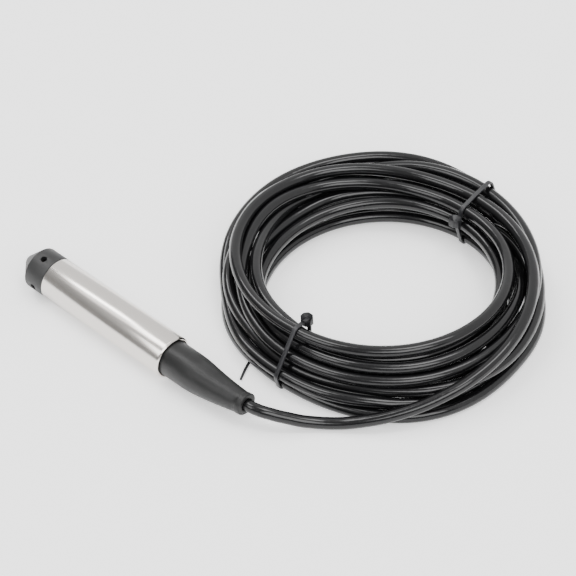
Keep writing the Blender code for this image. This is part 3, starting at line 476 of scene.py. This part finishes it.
boot_mesh = spun(boot_section())
for vertex in boot_mesh.verts:
    along = max(0.0, vertex.co.x / MM - TUBE_FRONT - BEND_START) / BEND_LENGTH
    vertex.co.y += BEND_REACH * along ** 2 * MM
boot = piece("boot", boot_mesh, replaces="strain_relief_boot", crease=50.0)

# %% [markdown]
# ### The cable ties
# Two nylon ties hold the coil. A tie is a flat strap that lies over the outermost turns, so its loop is the
# convex outline of the turns where it crosses them, and of the place where it stands off them a little.
# The outline is doubled outwards by the strap's thickness, bridged, drawn out to its width and bevelled.
# Its head is a small block with a slot.

# %% Where a tie crosses the turns
STRAP_CLEARANCE = 0.1
CIRCLE_CORNERS = 28


def crossings(angle):
    """Radius and height of every turn where it passes an angle about the coil, in millimetres."""
    found = []
    angles = np.degrees(turn_angles)
    for target in np.arange(angle, angles[-1], 360.0):
        if target >= angles[0]:
            found.append((np.interp(target, angles, turns[:, 0]), np.interp(target, angles, turns[:, 1])))
    return found


def strap_outline(angle, off):
    """The convex outline round the turns at an angle and round one more circle (radius, height, size)."""
    rings = [(radius, height, CABLE_RADIUS + STRAP_CLEARANCE) for radius, height in crossings(angle)]
    corners = [Vector((radius + reach * math.cos(a), height + reach * math.sin(a)))
               for radius, height, reach in rings + [off]
               for a in np.linspace(0, math.tau, CIRCLE_CORNERS, endpoint=False)]
    return [corners[index] for index in convex_hull_2d(corners)]


def offset(outline, distance):
    """The outline moved outwards by a distance."""
    moved = []
    middle = sum(outline, Vector((0, 0))) / len(outline)
    for before, here, after in zip(outline[-1:] + outline[:-1], outline, outline[1:] + outline[:1]):
        edge = (after - before).normalized()
        out = Vector((edge.y, -edge.x))
        if out.dot(here - middle) < 0:
            out = -out
        moved.append(here + out * distance)
    return moved


# %% Strap
STRAP_WIDTH = 2.8
STRAP_THICKNESS = 1.2
STRAP_EDGE = 0.22


def to_coil(angle):
    """Takes (radius, along the cable, height) at an angle about the coil to the world, in metres."""
    matrix = Matrix.Rotation(math.radians(angle), 4, "Z") @ Matrix.Scale(MM, 4)
    matrix.translation = Vector((COIL_MIDDLE[0], COIL_MIDDLE[1], 0.0)) * MM
    return matrix


def strap(bm, angle, off):
    """Adds the closed strap to a bmesh, in the plane of the crossing."""
    inner = strap_outline(angle, off)
    sides = []
    for outline in (inner, offset(inner, STRAP_THICKNESS)):
        loop = [bm.verts.new((p.x, -STRAP_WIDTH / 2, p.y)) for p in outline]
        sides += [bm.edges.new(pair) for pair in zip(loop, loop[1:] + loop[:1])]
    band = bmesh.ops.bridge_loops(bm, edges=sides)["faces"]
    raised = bmesh.ops.extrude_face_region(bm, geom=band)["geom"]
    bmesh.ops.translate(bm, verts=[g for g in raised if isinstance(g, bmesh.types.BMVert)],
                        vec=(0, STRAP_WIDTH, 0))
    bmesh.ops.recalc_face_normals(bm, faces=bm.faces)


# %% [markdown]
# The head starts as a cube that is scaled to size. Its upright corners are cut off, its top is inset and
# sunk to a slot, and then all its edges are rounded together.

# %% Head
HEAD_SIZE = (7.4, 7.8, 5.2)
HEAD_CORNER = 2.2
HEAD_EDGE = 0.22
SLOT_WALL, SLOT_DEPTH = 2.1, 3.9


def add_mesh(bm, extra):
    """Adds the faces of one bmesh to another, and frees it."""
    holder = bpy.data.meshes.new("holder")
    extra.to_mesh(holder)
    extra.free()
    bm.from_mesh(holder)
    bpy.data.meshes.remove(holder)


def head(bm, middle, lean):
    """Adds the tie's head: a block with cut corners and a sunk slot, leaning by an angle."""
    block = bmesh.new()
    bmesh.ops.create_cube(block, size=1.0)
    bmesh.ops.scale(block, verts=block.verts, vec=HEAD_SIZE)
    upright = [e for e in block.edges if abs(e.verts[0].co.y - e.verts[1].co.y) < 0.01
               and abs(e.verts[0].co.x - e.verts[1].co.x) < 0.01]
    bmesh.ops.bevel(block, geom=upright, offset=HEAD_CORNER, segments=1, profile=0.5, affect="EDGES",
                    material=-1)
    top = max(block.faces, key=lambda face: face.calc_center_median().z)
    bmesh.ops.inset_region(block, faces=[top], thickness=SLOT_WALL)
    bmesh.ops.translate(block, verts=top.verts, vec=(0, 0, -SLOT_DEPTH))
    sharp = [e for e in block.edges if e.calc_face_angle(0.0) > math.radians(30)]
    bmesh.ops.bevel(block, geom=sharp, offset=HEAD_EDGE, segments=2, profile=0.5, affect="EDGES",
                    material=-1)
    turn = Matrix.Rotation(math.radians(lean), 4, "Y")
    turn.translation = Vector(middle)
    bmesh.ops.transform(block, matrix=turn, verts=block.verts)
    add_mesh(bm, block)


# %% [markdown]
# The front tie keeps its tail, which was not cut off. It comes out from under the coil and lies on the
# table, so it is a flat strip that grows edge by edge along a line and gets its thickness at the end.

# %% Tail
TAIL_WIDTH, TAIL_TAPER, TAIL_THICKNESS = 2.4, 0.9, 1.0
TAIL_EDGE = 0.15
TAIL_HEIGHT = 0.12
TAIL_PLACES = [
    (88.2, 48.2), (80.0, 48.6), (70.0, 50.4), (61.5, 49.6), (58.6, 45.4), (60.4, 40.2), (63.3, 33.3),
    (67.6, 25.0),
]


def ribbon(points, widths, thickness):
    """A flat strip on the table along points in millimetres, drawn out edge by edge, then thickened."""
    strip = bmesh.new()
    ahead = [(b - a).normalized() for a, b in zip(points, points[1:])]
    ahead.append(ahead[-1])
    aside = [Vector((-d.y, d.x, 0.0)) * w / 2 for d, w in zip(ahead, widths)]
    edge = strip.edges.new([strip.verts.new(points[0] - aside[0]), strip.verts.new(points[0] + aside[0])])
    for point, side in zip(points[1:], aside[1:]):
        grown = bmesh.ops.extrude_edge_only(strip, edges=[edge])["geom"]
        edge = next(g for g in grown if isinstance(g, bmesh.types.BMEdge))
        near, far = edge.verts
        if (near.co - far.co).dot(side) > 0:
            near, far = far, near
        near.co, far.co = point - side, point + side
    raised = bmesh.ops.extrude_face_region(strip, geom=strip.faces[:])["geom"]
    bmesh.ops.translate(strip, verts=[g for g in raised if isinstance(g, bmesh.types.BMVert)],
                        vec=(0, 0, thickness))
    bmesh.ops.recalc_face_normals(strip, faces=strip.faces)
    return strip


tail_line = [Vector((*place, TAIL_HEIGHT)) for place in smooth_line(TAIL_PLACES, 4)]
tail_widths = [TAIL_WIDTH - TAIL_TAPER * index / len(tail_line) for index in range(len(tail_line))]
tie_tail = ribbon(tail_line, tail_widths, TAIL_THICKNESS)
print("tail of", len(tie_tail.faces), "faces")


# %% Both ties
def tie(name, angle, off, head_place, lean, node, tail=None):
    """A cable tie round the turns at an angle about the coil, its loop held off by one more circle."""
    bm = bmesh.new()
    strap(bm, angle, off)
    soften(bm, STRAP_EDGE, 60.0)
    head(bm, head_place, lean)
    bmesh.ops.transform(bm, matrix=to_coil(angle), verts=bm.verts)
    if tail:
        soften(tail, TAIL_EDGE, 60.0)
        bmesh.ops.scale(tail, verts=tail.verts, vec=(MM, MM, MM))
        add_mesh(bm, tail)
    return piece(name, bm, replaces=node, crease=40.0)


front_tie = tie("front_tie", FRONT_TIE_ANGLE, off=(71.3, 38.6, 1.0), head_place=(72.0, 0.1, 40.6), lean=4.0,
                node="cable_tie_front", tail=tie_tail)
back_tie = tie("back_tie", BACK_TIE_ANGLE, off=(100.6, 35.6, 3.4), head_place=(69.6, 0.0, 27.0), lean=8.0,
               node="cable_tie_back")

# %% [markdown]
# ### The free end
# The installer connects the far end of the cable. A shrunk sleeve seals the jacket, and two cores and the
# breathing tube come out of it. The sleeve is spun about the x axis and then laid along the cable's tail.

# %% Sleeve
END_MIDDLE = Vector((31.65, 224.54, 5.0))
END_DIRECTION = math.radians(210.0)
SLEEVE_HALF, SLEEVE_RADIUS, SLEEVE_BORE = 10.0, 4.7, 4.3
SLEEVE_SEAT, CORE_OPENING = 3.0, 1.0
SLEEVE_STEPS = 48
sleeve_mesh = bmesh.new()
sleeve_line = [
    (SLEEVE_HALF, CORE_OPENING), (SLEEVE_HALF, 3.0), (SLEEVE_HALF - 1.0, SLEEVE_RADIUS - 0.5),
    (SLEEVE_HALF - 1.8, SLEEVE_RADIUS - 0.1), (SLEEVE_HALF - 3.0, SLEEVE_RADIUS),
    (0.4 - SLEEVE_HALF, SLEEVE_RADIUS), (-SLEEVE_HALF, SLEEVE_RADIUS - 0.15), (-SLEEVE_HALF, SLEEVE_BORE),
    (SLEEVE_SEAT, SLEEVE_BORE), (SLEEVE_SEAT, CORE_OPENING),
]
ring = [sleeve_mesh.verts.new((s * MM, 0.0, r * MM)) for s, r in sleeve_line]
ring_edges = [sleeve_mesh.edges.new(pair) for pair in zip(ring, ring[1:] + ring[:1])]
bmesh.ops.spin(sleeve_mesh, geom=ring + ring_edges, cent=(0, 0, 0), axis=(1, 0, 0), angle=math.tau,
               steps=SLEEVE_STEPS, use_merge=True)
close_seams(sleeve_mesh)
place = Matrix.Rotation(END_DIRECTION, 4, "Z")
place.translation = END_MIDDLE * MM
bmesh.ops.transform(sleeve_mesh, matrix=place, verts=sleeve_mesh.verts)
sleeve = piece("end_sleeve", sleeve_mesh, replaces="far_end_sleeve")

# %% [markdown]
# The cores and the breathing tube sink from the sleeve's middle to the table and fan out a little. Each
# line is written as steps along the cable's end and aside of it.

# %% Cores and breathing tube
CORE_RADIUS, VENT_RADIUS = 0.7, 1.0
CORE_ASIDE, CORE_SPREAD = 1.8, 3.0
END_ALONG = Vector((-0.8660, -0.5, 0.0))
END_ASIDE = Vector((0.5, -0.8660, 0.0))


def at_end(along, aside, height):
    """A point near the sleeve: along the cable's end, aside of it, and its height above the table."""
    place = END_MIDDLE + END_ALONG * along + END_ASIDE * aside
    return place.x, place.y, height


def end_wire(name, aside, spread, radius, node):
    """A core or the breathing tube from the sleeve down to the table."""
    steps = [(9.5, 0.0, 5.0), (14.0, 0.0, 4.6), (19.5, 0.25, 3.2), (28.0, 0.5, radius + 0.2),
             (36.0, 0.8, radius + 0.1), (45.0, 1.0, radius + 0.1)]
    route = [at_end(along, aside + spread * share, height) for along, share, height in steps]
    item = wire(name, smooth_line(route, 8), radius)
    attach(item, "housing")
    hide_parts(node)
    return item


red_core = end_wire("red_core", -CORE_ASIDE, -CORE_SPREAD, CORE_RADIUS, "far_core_red")
vent = end_wire("vent", 0.0, 0.0, VENT_RADIUS, "far_vent_tube")
blue_core = end_wire("blue_core", CORE_ASIDE, CORE_SPREAD, CORE_RADIUS, "far_core_blue")
print("red and blue core and breathing tube made")

# %% [markdown]
# ## Writing finishes as sums
# A finish is a picture of numbers: noise, stripes and masks added and multiplied together. Joining each
# Math node by hand hides that, so one small class wraps a socket and lets Python's own signs add the
# nodes. Colours go through a Mix node, because a Math node would turn them grey.

# %% A socket that can be added and multiplied
class Signal:
    """A socket of a finish. Arithmetic on it adds Math nodes."""

    def __init__(self, finish, socket):
        self.finish = finish
        self.socket = socket

    def maths(self, operation, *values):
        return self.finish.node("ShaderNodeMath", {"operation": operation}, dict(enumerate(values)))

    def __add__(self, other):
        return self.maths("ADD", self, other)

    __radd__ = __add__

    def __mul__(self, other):
        return self.maths("MULTIPLY", self, other)

    __rmul__ = __mul__

    def __sub__(self, other):
        return self.maths("SUBTRACT", self, other)

    def __rsub__(self, other):
        return self.maths("SUBTRACT", other, self)

    def __truediv__(self, other):
        return self.maths("DIVIDE", self, other)

    def step(self, low, high):
        """0 below low, 1 above high, smooth between."""
        return self.finish.node("ShaderNodeMapRange", {"interpolation_type": "SMOOTHSTEP"},
                                {"Value": self, "From Min": low, "From Max": high}, "Result")


# %% [markdown]
# A finish owns its node tree. One method adds any node: it takes the node's type, its settings, and the
# values or links of its sockets. The others are short names for the nodes that most finishes use.

# %% A finish and its nodes
class Finish:
    """One material in the making, or the world's light."""

    def __init__(self, owner, shader="Principled BSDF", places="Object"):
        self.material = bpy.data.materials.new(owner) if isinstance(owner, str) else owner
        self.material.use_nodes = True
        self.tree = self.material.node_tree
        self.shader = self.tree.nodes[shader]
        self.places = self.node("ShaderNodeTexCoord", {}, {}, places)

    def node(self, kind, settings, values, output=0):
        """Adds a node with its settings, feeds its sockets, and gives one of its outputs."""
        made = self.tree.nodes.new(kind)
        for key, value in settings.items():
            setattr(made, key, value)
        for key, value in values.items():
            self.feed(made.inputs[key], value)
        return Signal(self, made.outputs[output])

    def feed(self, socket, value):
        if isinstance(value, Signal):
            self.tree.links.new(value.socket, socket)
        else:
            socket.default_value = value

    def stretched(self, x, y, z):
        """The object's coordinates, scaled along each axis."""
        return self.node("ShaderNodeMapping", {"vector_type": "POINT"},
                         {"Vector": self.places, "Scale": (x, y, z)})

    def noise(self, scale, detail=3.0, roughness=0.5, at=None):
        return self.node("ShaderNodeTexNoise", {},
                         {"Vector": at or self.places, "Scale": scale, "Detail": detail,
                          "Roughness": roughness}, "Fac")

    def mix(self, mask, first, second):
        """A colour between two, by a mask. The node's sockets 6 and 7 and output 2 are its colours."""
        return self.node("ShaderNodeMix", {"data_type": "RGBA"},
                         {"Factor": mask, 6: (*first, 1.0), 7: (*second, 1.0)}, 2)

    def bump(self, height, distance, strength):
        """Surface relief from a height, with its depth in metres."""
        return self.node("ShaderNodeBump", {},
                         {"Height": height, "Distance": distance, "Strength": strength}, "Normal")

    def set(self, **values):
        """Sets the shader's sockets. Base_Color stands for Base Color, and so on."""
        for key, value in values.items():
            if isinstance(value, tuple) and len(value) == 3:
                value = (*value, 1.0)
            self.feed(self.shader.inputs[key.replace("_", " ")], value)
        return self.material


def tone(code):
    """The linear colour of a six-digit screen colour."""
    parts = [int(code[i:i + 2], 16) / 255 for i in (0, 2, 4)]
    return tuple(p / 12.92 if p <= 0.04045 else ((p + 0.055) / 1.055) ** 2.4 for p in parts)


# %% [markdown]
# ### Jacket
# The jacket is extruded polyurethane: black, glossy, and never quite even. Slow swells in the gloss break
# the highlights, and rubbing against the next turn leaves duller marks.

# %% Jacket finish
def jacket_finish():
    """Black polyurethane with slow swells and rubbed places."""
    f = Finish("glossy_jacket")
    swell = f.noise(70.0, 2.0)
    ripple = f.noise(260.0, 2.0)
    rub = f.noise(330.0, 4.0, 0.65).step(0.54, 0.76)
    colour = f.mix(rub * 0.6, tone("0f0f10"), tone("1c1c1e"))
    return f.set(Base_Color=colour, Roughness=0.1 + swell * 0.07 + rub * 0.1, Specular_IOR_Level=0.38,
                 Normal=f.bump(swell * 0.8 + ripple * 0.14, 0.0007, 0.4))


# %% [markdown]
# ### Steel
# Drawn tube that was polished along its length reflects long streaks. Very fine lines along the tube
# roughen the gloss in places, and a few faint smears stay from handling. Turned parts have their lines
# round them instead, so the same recipe stretches its grain the other way.

# %% Steel finish
def steel_finish(name, lengthwise):
    """Bright steel with its grain along the probe or round it."""
    f = Finish(name)
    along = f.stretched(12.0, 900.0, 900.0) if lengthwise else f.stretched(2600.0, 14.0, 14.0)
    grain = f.noise(1.0, 5.0, 0.7, along)
    smear = f.noise(38.0, 3.0, 0.6)
    pit = f.noise(1500.0, 2.0).step(0.66, 0.78)
    colour = f.mix(smear * 0.5 + grain * 0.3, tone("d0cbc5"), tone("dfdad5"))
    return f.set(Base_Color=colour, Metallic=1.0, Roughness=0.12 + grain * 0.1 + smear * 0.06 + pit * 0.08,
                 Normal=f.bump(grain + pit * 0.3, 0.00002, 0.5))


# %% [markdown]
# ### Moulded parts
# The cap, the ties, the seals and the small plastic parts differ in shade, gloss and grain. One recipe
# with these as its numbers serves all of them, so their differences can be read side by side. The boot is
# handled more than the others, and gets a recipe of its own.

# %% Moulded finish
def moulded(name, dark, light, rough, grain_scale, grain_depth):
    """Plastic or rubber as it comes from the mould, slightly clouded and scuffed."""
    f = Finish(name)
    cloud = f.noise(120.0, 3.0)
    grain = f.noise(grain_scale, 3.0, 0.6)
    scuff = f.noise(1.0, 4.0, 0.7, f.stretched(160.0, 900.0, 900.0)).step(0.56, 0.78)
    colour = f.mix(cloud * 0.6 + scuff * 0.3, tone(dark), tone(light))
    return f.set(Base_Color=colour, Roughness=rough + cloud * 0.08 + grain * 0.08 - scuff * 0.05,
                 Normal=f.bump(grain + scuff * 0.3, grain_depth * MM, 0.6))


# %% Boot finish
def boot_finish():
    """Rubber that was handled: slow pale smears, fine scuffs along it and a grain."""
    f = Finish("boot_rubber")
    smear = f.noise(55.0, 5.0, 0.62).step(0.44, 0.72)
    scuff = f.noise(1.0, 5.0, 0.72, f.stretched(130.0, 520.0, 520.0)).step(0.55, 0.8)
    grain = f.noise(2100.0, 3.0, 0.6)
    dent = f.noise(90.0, 2.0)
    colour = f.mix(smear * 0.75 + scuff * 0.35, tone("131313"), tone("2a2a2a"))
    return f.set(Base_Color=colour, Roughness=0.38 + grain * 0.08 + smear * 0.12 - scuff * 0.06,
                 Specular_IOR_Level=0.36,
                 Normal=f.bump(dent * 1.2 + grain * 0.06 + scuff * 0.05, 0.0005, 0.5))


# %% [markdown]
# ### Brass and board
# These two are hidden inside the tube. The brass shows the lathe's rings, and the board's brick pattern
# stands for its copper lanes.

# %% Metal and board finishes
def turned_metal(name, dark, light, rough):
    """Metal with fine rings from the lathe and a little staining."""
    f = Finish(name)
    rings = f.noise(1.0, 4.0, 0.6, f.stretched(4200.0, 30.0, 30.0))
    stain = f.noise(150.0, 3.0)
    return f.set(Base_Color=f.mix(rings * 0.4 + stain * 0.5, tone(dark), tone(light)), Metallic=1.0,
                 Roughness=rough + rings * 0.15 + stain * 0.05, Normal=f.bump(rings, 0.00003, 0.5))


def board_finish():
    """Green lacquer over copper lanes and woven glass."""
    f = Finish("green_board")
    lanes = f.node("ShaderNodeTexBrick", {"offset": 0.5, "squash": 0.6}, {
        "Vector": f.places, "Scale": 210.0, "Mortar Size": 0.09, "Mortar Smooth": 0.2,
        "Color1": (0, 0, 0, 1), "Color2": (0, 0, 0, 1), "Mortar": (1, 1, 1, 1)}, "Fac")
    weave = f.noise(1800.0, 2.0)
    colour = f.mix(lanes * 0.6 + weave * 0.2, tone("14512e"), tone("2f8a4d"))
    return f.set(Base_Color=colour, Roughness=0.32 + weave * 0.1, Normal=f.bump(lanes, 0.00004, 0.6))


# %% [markdown]
# ### Every part's finish
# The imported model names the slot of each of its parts. Most of them are inside the tube, and the cap shows
# the port behind it when it is unscrewed, so every slot gets a finish, and the new pieces use the same.

# %% All finishes
FINISHES = {
    "jacket": jacket_finish(),
    "tube": steel_finish("polished_tube", True),
    "steel": steel_finish("turned_steel", False),
    "cap": moulded("cap_plastic", "191919", "242424", 0.42, 2600.0, 0.03),
    "boot": boot_finish(),
    "seal": moulded("seal_rubber", "161616", "242424", 0.4, 2400.0, 0.02),
    "nylon": moulded("tie_nylon", "17171a", "262628", 0.34, 1600.0, 0.02),
    "chip": moulded("chip_moulding", "151515", "222222", 0.5, 3800.0, 0.02),
    "terminal": moulded("terminal_plastic", "1f7a3c", "2f9350", 0.35, 2200.0, 0.02),
    "carrier": moulded("carrier_plastic", "cfcfc8", "e4e4de", 0.42, 2200.0, 0.02),
    "ceramic": moulded("cell_ceramic", "e2dfd8", "f0eee9", 0.3, 2800.0, 0.01),
    "film": moulded("flexible_film", "a8681e", "c98a34", 0.25, 1200.0, 0.01),
    "red": moulded("red_insulation", "9a1712", "c02a20", 0.32, 1500.0, 0.02),
    "blue": moulded("blue_insulation", "18388a", "2a52b4", 0.32, 1500.0, 0.02),
    "clear": moulded("milky_tube", "cfcfc8", "e6e6e0", 0.3, 1500.0, 0.02),
    "brass": turned_metal("brass", "a98a48", "d6bd7c", 0.24),
    "board": board_finish(),
}
print(len(FINISHES), "finishes")


# %% Give every part its finish
def finish_with(item, material):
    """Puts one material in every slot of a piece."""
    if not item.data.materials:
        item.data.materials.append(material)
    for holder in item.material_slots:
        holder.material = material


for part in frame["record"]["subparts"]:
    finish_with(nodes[part["node"]], FINISHES[part["material_slot"]])
NEW_PIECES = [
    (cable, "jacket"), (tube, "tube"), (cap, "cap"), (boot, "boot"), (front_tie, "nylon"),
    (back_tie, "nylon"), (sleeve, "seal"), (red_core, "red"), (blue_core, "blue"), (vent, "clear"),
]
for new_piece, finish_name in NEW_PIECES:
    finish_with(new_piece, FINISHES[finish_name])
print(len(NEW_PIECES), "new pieces finished")

# %% [markdown]
# ## Table and light
# The photograph was taken in a white tent: pale ground, light from everywhere, and several soft boxes
# above, which draw short streaks along anything glossy. The floor is paper that glows a little, so that
# the shadows on it stay pale.

# %% Floor
FLOOR_SIZE = 6.0
FLOOR_BELOW = 0.0002
FLOOR_GLOW = 0.6
floor_mesh = bmesh.new()
bmesh.ops.create_grid(floor_mesh, x_segments=8, y_segments=8, size=FLOOR_SIZE)
bmesh.ops.translate(floor_mesh, verts=floor_mesh.verts, vec=(0, 0, -FLOOR_BELOW))
floor_data = bpy.data.meshes.new("floor")
floor_mesh.to_mesh(floor_data)
floor_mesh.free()
floor = bpy.data.objects.new("floor", floor_data)
bpy.context.scene.collection.objects.link(floor)
paper = Finish("pale_paper")
floor_data.materials.append(paper.set(Base_Color=(0.93, 0.93, 0.93), Roughness=0.9, Specular_IOR_Level=0.1,
                                      Emission_Color=(1.0, 1.0, 1.0), Emission_Strength=FLOOR_GLOW))

# %% [markdown]
# The world is the tent. A direction in it is where it meets a flat roof, one unit above the object, so each
# soft box can be written as a rectangle there: its edges sideways and ahead, how bright it is, and how
# wide its edges fade. The tent's walls are darker low down, which gives the steel its grey band, and
# brighter behind.

# %% Tent and soft boxes
HORIZON = 0.03
WALL_LOW, WALL_RISE, BEHIND = 0.36, 0.44, 1.5
SOFT_EDGE, BROAD_EDGE = 0.04, 0.1
SOFT_BOXES = [
    ((-1.3, -0.50), (-0.13, 0.06), 10.0, SOFT_EDGE),
    ((-0.50, -0.13), (-0.40, -0.05), 8.0, SOFT_EDGE),
    ((-0.55, 0.12), (-2.40, -0.85), 5.0, SOFT_EDGE),
    ((0.02, 0.34), (-0.06, 0.42), 8.0, SOFT_EDGE),
    ((0.66, 2.00), (-1.20, -0.02), 6.0, SOFT_EDGE),
    ((-1.3, -0.55), (-0.5, 0.14), 1.8, BROAD_EDGE),
]
tent_world = bpy.data.worlds.new("white_tent")
bpy.context.scene.world = tent_world
tent = Finish(tent_world, "Background", "Generated")
sideways, ahead, above = (tent.node("ShaderNodeSeparateXYZ", {}, {"Vector": tent.places}, axis)
                          for axis in "XYZ")
roof = above.maths("MAXIMUM", above, HORIZON)
roof_x, roof_y = sideways / roof, ahead / roof


def soft_box(x_edges, y_edges, radiance, fade):
    """A bright rectangle on the tent's roof, with edges that fade."""
    shape = radiance
    for place, (low, high) in ((roof_x, x_edges), (roof_y, y_edges)):
        shape = shape * place.step(low - fade, low + fade) * (1.0 - place.step(high - fade, high + fade))
    return shape


walls = WALL_LOW + above.step(0.25, 0.8) * WALL_RISE
behind = ahead.step(-0.02, 0.12)
glow = walls * (1.0 - behind) + BEHIND * behind
for box in SOFT_BOXES:
    glow = glow + soft_box(*box)
tent.set(Color=(1.0, 1.0, 1.0), Strength=glow)
print(len(SOFT_BOXES), "soft boxes in a white tent")
